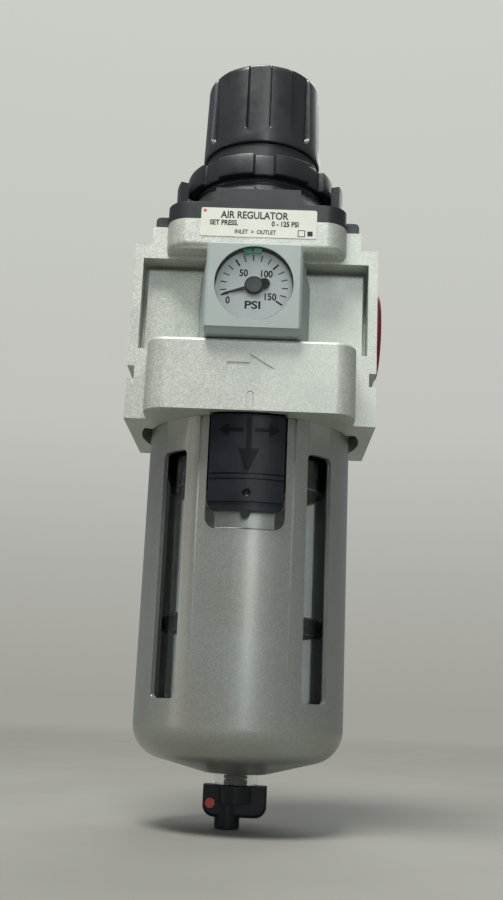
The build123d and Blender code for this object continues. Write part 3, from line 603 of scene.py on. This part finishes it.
def makeArrows(s):
    face = -sizeOf("lock_button")[0].y - s["ledge"]
    whole = []
    for one in arrowSet:
        tail = Vector(one["tail"])
        tip = Vector(one["tip"])
        along = (tip - tail).normalized()
        across = Vector((-along.y, along.x))
        neck = tip - along * one["headLength"]
        spans = []
        for i in range(s["columns"]):
            near = i / s["columns"]
            far = (i + 1) / s["columns"]
            spans.append((tail.lerp(neck, near), one["shaft"], tail.lerp(neck, far), one["shaft"]))
            spans.append((neck.lerp(tip, near), one["head"] * (1 - near) + s["point"],
                          neck.lerp(tip, far), one["head"] * (1 - far) + s["point"]))
        for start, startHalf, end, endHalf in spans:
            bm = bmesh.new()
            outline = []
            for share in (-1, -0.5, 0, 0.5, 1):
                outline.append(start + across * startHalf * share)
            for share in (1, 0.5, 0, -0.5, -1):
                outline.append(end + across * endHalf * share)
            layers = []
            for reach in (face + s["skinLow"], face + s["skinHigh"]):
                layer = []
                for point in outline:
                    turn = point.x / face
                    layer.append(bm.verts.new((reach * sin(turn), -reach * cos(turn), point.y)))
                layers.append(layer)
            last = len(outline) - 1
            for layer in layers:
                for i in range(4):
                    bm.faces.new((layer[i], layer[i + 1], layer[last - i - 1], layer[last - i]))
            stitch(bm, *layers)
            bmesh.ops.recalc_face_normals(bm, faces=bm.faces)
            mesh = bpy.data.meshes.new("span")
            bm.to_mesh(mesh)
            bm.free()
            whole.append(mesh)
    newPiece("buttonArrows", joined(whole), "lock_button", [arrowBlack])


makeArrows(arrowSizes)
print("arrows made")


# knob

knobSizes = dict(flutes=8, firstFlute=-4.0, fluteRadius=17.9, fluteHalf=11.5, wallTurn=0.9, skirt=2.9,
                 runOut=3.2, topRound=2.6, dish=14.3, dishDepth=0.8, bore=15.9,
                 socket=7.3, socketTop=25.2, boreTop=13.6, rowsUp=34, steps=540)


def makeKnob(s):
    low, high = sizeOf("knob")
    bottom = low.z
    top = high.z
    widest = (high.x - low.x) / 2
    shoulder = s["fluteRadius"] + 0.9
    skirtTop = bottom + s["skirt"]

    def sideRadius(z):
        # upright skirt, then a slow taper to the top
        share = max(0.0, (z - skirtTop) / (top - skirtTop))
        return widest + (shoulder - widest) * share

    def grip(radius, z, angle):
        # flutes between the ribs, with rounded ends at the skirt
        if z < skirtTop or radius < s["fluteRadius"]:
            return radius
        pitch = 360 / s["flutes"]
        turn = ((angle * 180 / pi) + 90 - s["firstFlute"] + pitch / 2) % pitch - pitch / 2
        up = min(1.0, (z - skirtTop) / s["runOut"])
        half = s["fluteHalf"] * sqrt(1 - (1 - up) ** 2)
        share = smooth((half - abs(turn)) / s["wallTurn"] + 0.5)
        return radius - share * (radius - s["fluteRadius"])

    socketTop = bottom + s["socketTop"]
    boreTop = bottom + s["boreTop"]
    rows = [(0, socketTop), (s["socket"], socketTop), (s["socket"], boreTop), (s["bore"], boreTop),
            (s["bore"], bottom + 0.3), (s["bore"] + 0.3, bottom)]
    rows += arcRows((widest - 0.5, bottom + 0.5), 0.5, -90, 0, 4)
    rows += [(widest, skirtTop - 0.6)]
    for i in range(9):
        z = skirtTop + s["runOut"] * i / 8
        rows.append((sideRadius(z), z))
    sideTop = top - s["topRound"]
    start = skirtTop + s["runOut"]
    for i in range(1, s["rowsUp"]):
        z = start + (sideTop - start) * i / s["rowsUp"]
        rows.append((sideRadius(z), z))
    edge = sideRadius(sideTop) - s["topRound"]
    rows += arcRows((edge, sideTop), s["topRound"], 0, 90, 8)
    rows += [(s["dish"] + 0.4, top), (s["dish"], top - 0.3), (s["dish"] - 0.2, top - s["dishDepth"]),
             (4.0, top - s["dishDepth"]), (3.4, top - s["dishDepth"] - 0.25), (0, top - s["dishDepth"] - 0.3)]
    knob = newPiece("gripKnob", lathe(rows, s["steps"], grip), "knob",
                    [knobPlastic], 40)
    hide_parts("knob")


makeKnob(knobSizes)
print("knob made")


# panel nut and threads

nutSizes = dict(notches=8, firstNotch=3.2, notchHalf=8.0, notchDepth=1.4, flank=1.2,
                chamfer=0.5, bore=21.42, steps=480)
neckThread = dict(radius=21.3, below=3.0, slack=0.1, ridge=0.42, pitch=1.25)
portThread = dict(bore=12.55, start=1.0, ridge=0.62, turns=7.0, pitch=1.81, sunk=0.35)


def makeNut(s):
    low, high = sizeOf("panel_nut")
    radius = (high.x - low.x) / 2
    pitch = 360 / s["notches"]

    def castellation(reach, z, angle):
        if reach < radius - 1:
            return reach
        turn = ((angle * 180 / pi) + 90 - s["firstNotch"] + pitch / 2) % pitch - pitch / 2
        share = smooth((s["notchHalf"] - abs(turn)) / s["flank"] + 0.5)
        return reach - share * s["notchDepth"]

    c = s["chamfer"]
    rows = [(s["bore"], low.z + c), (s["bore"] + c, low.z)]
    rows += arcRows((radius - c, low.z + c), c, -90, 0, 3)
    rows += arcRows((radius - c, high.z - c), c, 0, 90, 3)
    rows += [(radius - 1.9, high.z), (radius - 2.2, high.z - 0.5), (s["bore"] + c, high.z - 0.5),
             (s["bore"], high.z - 0.5 - c)]
    nut = newPiece("panelNut", lathe(rows, s["steps"], castellation, closed=True), "housing",
                   [blackPlastic])
    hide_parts("panel_nut")
    return low.z


def makeThreads(nutLow):
    # glossy turns between the bonnet's cone and the nut
    coneTop = nutLow - neckThread["below"]
    height = neckThread["below"] - 2 * neckThread["ridge"] - neckThread["slack"]
    values = dict(Radius=neckThread["radius"], Turns=height / neckThread["pitch"], Height=height,
                  Ridge=neckThread["ridge"])
    turns = runTree(screwThread, None, values, knobPlastic)
    turns.transform(Matrix.Translation((0, 0, coneTop + neckThread["ridge"])))
    settle("neckThread", turns, "housing", [knobPlastic])
    # pipe thread inside the inlet port
    length = portThread["turns"] * portThread["pitch"]
    values = dict(Radius=portThread["bore"] + portThread["sunk"], Turns=portThread["turns"],
                  Height=length, Ridge=portThread["ridge"])
    turns = runTree(screwThread, None, values, castMetal)
    start = sizeOf("body")[0].x + portThread["start"]
    turns.transform(Matrix.Translation((start, 0, 0)) @ Matrix.Rotation(radians(90), 4, "Y"))
    settle("inletThread", turns, "housing", [castMetal])


makeThreads(makeNut(nutSizes))
print("nut and threads made")


# bonnet screws

screwSizes = dict(headRadius=3.2, headHeight=2.5, shank=1.6, crossLength=3.5, crossWidth=0.85,
                  crossDepth=1.3, shankLength=13.0, rim=0.7, crown=1.2)


def makeScrews(s):
    low, high = sizeOf("bonnet_screws")
    top = s["headHeight"]
    rows = [(0, -s["shankLength"]), (s["shank"], -s["shankLength"]), (s["shank"], 0), (s["headRadius"], 0),
            (s["headRadius"], s["rim"])]
    for i in range(1, 7):
        turn = radians(90 * i / 6)
        rows.append((s["crown"] + (s["headRadius"] - s["crown"]) * cos(turn),
                     s["rim"] + (top - s["rim"]) * sin(turn)))
    rows.append((0, top))
    head = bpy.data.meshes.new("head")
    bm = lathe(rows, 40)
    bm.to_mesh(head)
    bm.free()
    screw = bpy.data.objects.new("screw", head)
    bpy.context.scene.collection.objects.link(screw)
    cutters = []
    for turn in (0, 90):
        cross = box((s["crossLength"], s["crossWidth"], 2 * s["crossDepth"]), (0, 0, top), 0.08, 1)
        bmesh.ops.rotate(cross, matrix=Matrix.Rotation(radians(turn), 3, "Z"), verts=cross.verts)
        mesh = bpy.data.meshes.new("cross")
        cross.to_mesh(mesh)
        cross.free()
        cutter = bpy.data.objects.new("cross", mesh)
        bpy.context.scene.collection.objects.link(cutter)
        cut = screw.modifiers.new("cut", "BOOLEAN")
        cut.operation = "DIFFERENCE"
        cut.object = cutter
        cutters.append(cutter)
    bpy.context.view_layer.update()
    evaluated = screw.evaluated_get(bpy.context.evaluated_depsgraph_get())
    one = bmesh.new()
    one.from_mesh(bpy.data.meshes.new_from_object(evaluated))
    for extra in cutters + [screw]:
        bpy.data.objects.remove(extra)
    spread = 2 * s["headRadius"]
    values = dict(Width=high.x - low.x - spread, Depth=high.y - low.y - spread,
                  Height=low.z + s["shankLength"], Seed=4)
    four = runTree(fourCorners, one, values, brightSteel)
    screws = settle("bonnetScrews", four, "housing", [brightSteel])
    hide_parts("bonnet_screws")


makeScrews(screwSizes)
print("screws made")


# gauge

gaugeSizes = dict(tickOuter=10.0, minorLength=1.9, majorLength=2.25, minorWidth=0.34,
                  majorWidth=0.52, sweepTurn=15.75, secondTick=187.5, zeroTick=196.5,
                  linerOuter=12.5, linerInner=11.3, frontLiner=(1.28, 1.42, 11.55),
                  backLiner=2.05, printDepth=0.03)
dialWords = [("0", 2.95, -7.5, -4.5, 0.88), ("50", 2.95, -3.2, 4.1, 0.88),
             ("100", 2.95, 3.4, 4.0, 0.88), ("150", 2.95, 4.7, -3.1, 0.88),
             ("PSI", 3.3, -0.2, -5.8, 1.24)]


def makeGauge(s):
    low, high = sizeOf("gauge_dial")
    centre = (low + high) / 2
    front = low.y
    onDial = Matrix.Translation((0, front, centre.z)) @ faceFront
    minor = box((s["minorLength"], s["minorWidth"], s["printDepth"] * 2), (0, 0, 0))
    major = box((s["majorLength"], s["majorWidth"], s["printDepth"] * 2), (0, 0, 0))
    step = radians(s["sweepTurn"])
    second = radians(s["secondTick"])
    scale = []
    # fifteen ticks from ten up, then the wide ones at zero and every fifty
    values = dict(Count=15, Radius=s["tickOuter"] - s["minorLength"] / 2, Rise=0.0)
    values["First Angle"] = second
    values["Step Angle"] = -step
    scale.append(runTree(ringOfPieces, minor, values, blackInk))
    values = dict(Count=3, Radius=s["tickOuter"] - s["majorLength"] / 2, Rise=0.0)
    values["First Angle"] = second - 4 * step
    values["Step Angle"] = -5 * step
    zero = major.copy()
    scale.append(runTree(ringOfPieces, major, values, blackInk))
    values = dict(values, Count=1)
    values["First Angle"] = radians(s["zeroTick"])
    scale.append(runTree(ringOfPieces, zero, values, blackInk))
    for mesh in scale:
        mesh.transform(onDial)
    for text, size, x, z, widen in dialWords:
        scale.append(words(text, size, x, centre.z + z, front - s["printDepth"], widen, 0.085))
    newPiece("dialPrint", joined(scale), "housing", [blackInk])

    # black rings inside the window, a thin one before the set marks and a deep one behind them; a dark ring
    # that also stands in for the shade on the window's inner wall (painted shade)
    depth = front - sizeOf("gauge_case")[0].y
    rings = []
    for near, far, inner in (s["frontLiner"], (s["backLiner"], depth - 0.02, s["linerInner"])):
        rows = [(s["linerOuter"], near), (s["linerOuter"], far), (inner, far), (inner, near)]
        ring = bpy.data.meshes.new("ring")
        bm = lathe([(radius, -place) for radius, place in rows], 128, closed=True)
        bm.to_mesh(ring)
        bm.free()
        ring.transform(Matrix.Translation((0, front - depth, centre.z)) @ faceFront)
        rings.append(ring)
    newPiece("windowShadeRing", joined(rings), "housing", [blackRubber])

    # grey cap on the needle's hub
    hubLow, hubHigh = sizeOf("gauge_hub")
    radius = (hubHigh.x - hubLow.x) / 2 - 0.55
    rows = [(0, -0.2), (radius, -0.2), (radius, 0.02), (radius - 0.1, 0.1), (radius * 0.6, 0.16),
            (0.35, 0.18), (0.25, 0.1), (0, 0.08)]
    cap = lathe(rows, 64)
    onHub = Matrix.Translation((0, hubLow.y, centre.z)) @ faceFront
    bmesh.ops.transform(cap, matrix=onHub, verts=cap.verts)
    newPiece("hubCap", cap, "needle", [hubGrey])


makeGauge(gaugeSizes)
print("gauge made")


# label

labelSizes = dict(lineOne=3.3, lineTwo=2.3, lineThree=1.9, tagSize=0.9, badge=2.0, badgeLine=0.25,
                  weight=0.085, condense=0.82)


def makeLabel(s):
    low, high = sizeOf("label")
    middle = (low.x + high.x) / 2
    front = low.y
    narrow = s["condense"]
    bold = s["weight"]
    parts = [words("AIR REGULATOR", s["lineOne"], middle - 1.4, high.z - 2.3, front, narrow, bold),
             words("SET PRESS.", s["lineTwo"], low.x + 7.0, high.z - 4.9, front, narrow, bold),
             words("0 - 125 PSI", s["lineTwo"], high.x - 9.6, high.z - 4.9, front, narrow, bold),
             words("INLET  >  OUTLET", s["lineThree"], middle - 1.0, low.z + 1.6, front, narrow,
                   bold * 0.6)]
    # two small squares at the lower right, the first one framed
    size = s["badge"]
    line = s["badgeLine"]
    x = high.x - 4.6
    z = low.z + 1.6
    for width, height, right, up in ((size, line, 0, size / 2), (size, line, 0, -size / 2),
                                     (line, size, size / 2, 0), (line, size, -size / 2, 0),
                                     (size * 0.8, size * 0.8, size * 1.3, 0)):
        square = bpy.data.meshes.new("square")
        bm = box((width, 0.04, height), (x + right, front, z + up))
        bm.to_mesh(square)
        bm.free()
        parts.append(square)
    newPiece("labelPrint", joined(parts), "housing", [blackInk])
    tag = box((s["tagSize"], 0.04, s["tagSize"]), (low.x + 1.1, front, high.z - 1.0))
    newPiece("labelTag", tag, "housing", [redInk])


makeLabel(labelSizes)
print("label printed")


# stage, light and camera

stageSizes = dict(floorRadius=1.3, fadeStart=0.2, fadeEnd=1.0, drop=0.3, dark=(0.225, 0.225, 0.20),
                  light=(0.25, 0.25, 0.225))
cameraSeat = dict(place=(44.28, -322.15, -116.44), heading=1.10, pitch=13.52, roll=2.42, lens=41.81)
worldLook = dict(shade=(0.94, 1.0, 0.99), strength=0.22, horizon=(0.36, 0.355, 0.32),
                 low=(0.43, 0.43, 0.40), high=(0.53, 0.54, 0.50), top=(0.60, 0.62, 0.57))
# each lamp stands at an azimuth and elevation, seen from the middle of the body
lamps = [
    dict(name="overhead", azimuth=-22, elevation=64, away=0.9, size=(0.4, 0.3), power=11.5,
         colour=(1.0, 0.99, 0.96)),
    dict(name="frontStrip", azimuth=8, elevation=18, away=0.9, size=(0.10, 0.7), power=1.4,
         colour=(0.93, 1.0, 1.0)),
    dict(name="sideWarm", azimuth=-68, elevation=3, away=0.8, size=(0.10, 0.4), power=0.25,
         colour=(1.0, 0.90, 0.78)),
    dict(name="behind", azimuth=165, elevation=45, away=1.0, size=(0.8, 0.8), power=5.0,
         colour=(1, 1, 1)),
]


def makeStage(s):
    material, tree, shader = newMaterial("paleFloor")
    tree.links.new(ramp(tree, noise(tree, 60.0, 3.0), [(0.3, s["dark"]), (0.7, s["light"])]),
                   shader.inputs["Base Color"])
    shader.inputs["Roughness"].default_value = 0.8
    # the floor fades out, so that no edge shows against the backdrop
    place = tree.nodes.new("ShaderNodeTexCoord")
    length = tree.nodes.new("ShaderNodeVectorMath")
    length.operation = "LENGTH"
    tree.links.new(place.outputs["Object"], length.inputs[0])
    fade = tree.nodes.new("ShaderNodeMapRange")
    tree.links.new(length.outputs["Value"], fade.inputs["Value"])
    fade.inputs["From Min"].default_value = s["fadeStart"]
    fade.inputs["From Max"].default_value = s["fadeEnd"]
    fade.inputs["To Min"].default_value = 1.0
    fade.inputs["To Max"].default_value = 0.0
    tree.links.new(fade.outputs[0], shader.inputs["Alpha"])
    bm = bmesh.new()
    bmesh.ops.create_circle(bm, cap_ends=True, radius=s["floorRadius"], segments=64)
    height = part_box("drain_cock")[0].z - s["drop"] * mm
    bmesh.ops.translate(bm, vec=(0, 0, height), verts=bm.verts)
    mesh = bpy.data.meshes.new("floor")
    bm.to_mesh(mesh)
    bm.free()
    mesh.materials.append(material)
    floor = bpy.data.objects.new("floor", mesh)
    bpy.context.scene.collection.objects.link(floor)


def makeLight():
    # a pale backdrop that grows lighter upwards; it lights the object only softly
    world = bpy.data.worlds.new("studio")
    world.use_nodes = True
    tree = world.node_tree
    soft = tree.nodes["Background"]
    soft.inputs[0].default_value = (*worldLook["shade"], 1)
    soft.inputs[1].default_value = worldLook["strength"]
    place = tree.nodes.new("ShaderNodeTexCoord")
    height = tree.nodes.new("ShaderNodeSeparateXYZ")
    tree.links.new(place.outputs["Generated"], height.inputs[0])
    shade = ramp(tree, height.outputs["Z"], [(0.0, worldLook["horizon"]), (0.12, worldLook["low"]),
                                             (0.25, worldLook["high"]), (0.6, worldLook["top"])])
    backdrop = tree.nodes.new("ShaderNodeBackground")
    tree.links.new(shade, backdrop.inputs[0])
    path = tree.nodes.new("ShaderNodeLightPath")
    chosen = tree.nodes.new("ShaderNodeMixShader")
    tree.links.new(path.outputs["Is Camera Ray"], chosen.inputs[0])
    tree.links.new(soft.outputs[0], chosen.inputs[1])
    tree.links.new(backdrop.outputs[0], chosen.inputs[2])
    tree.links.new(chosen.outputs[0], tree.nodes["World Output"].inputs[0])
    bpy.context.scene.world = world
    bpy.context.scene.view_settings.view_transform = "Standard"
    target = Vector((axisX, 0, -0.03))
    for lamp in lamps:
        light = bpy.data.lights.new(lamp["name"], "AREA")
        light.shape = "RECTANGLE"
        light.size, light.size_y = lamp["size"]
        light.energy = lamp["power"]
        light.color = lamp["colour"]
        holder = bpy.data.objects.new(lamp["name"], light)
        turn = radians(lamp["azimuth"])
        rise = radians(lamp["elevation"])
        aim = Vector((sin(turn) * cos(rise), -cos(turn) * cos(rise), sin(rise)))
        holder.location = target + aim * lamp["away"]
        holder.rotation_euler = (-aim).to_track_quat("-Z", "Y").to_euler()
        bpy.context.scene.collection.objects.link(holder)


def makeCamera(s):
    camera = bpy.data.cameras.new("camera")
    camera.lens = s["lens"]
    camera.clip_start = 0.01
    holder = bpy.data.objects.new("camera", camera)
    turn = Matrix.Rotation(radians(s["heading"]), 3, "Z")
    turn = turn @ Matrix.Rotation(radians(90 + s["pitch"]), 3, "X")
    turn = turn @ Matrix.Rotation(radians(s["roll"]), 3, "Z")
    holder.rotation_euler = turn.to_euler()
    holder.location = Vector(s["place"]) * mm
    bpy.context.scene.collection.objects.link(holder)
    bpy.context.scene.camera = holder


makeStage(stageSizes)
makeLight()
makeCamera(cameraSeat)
print("stage set")
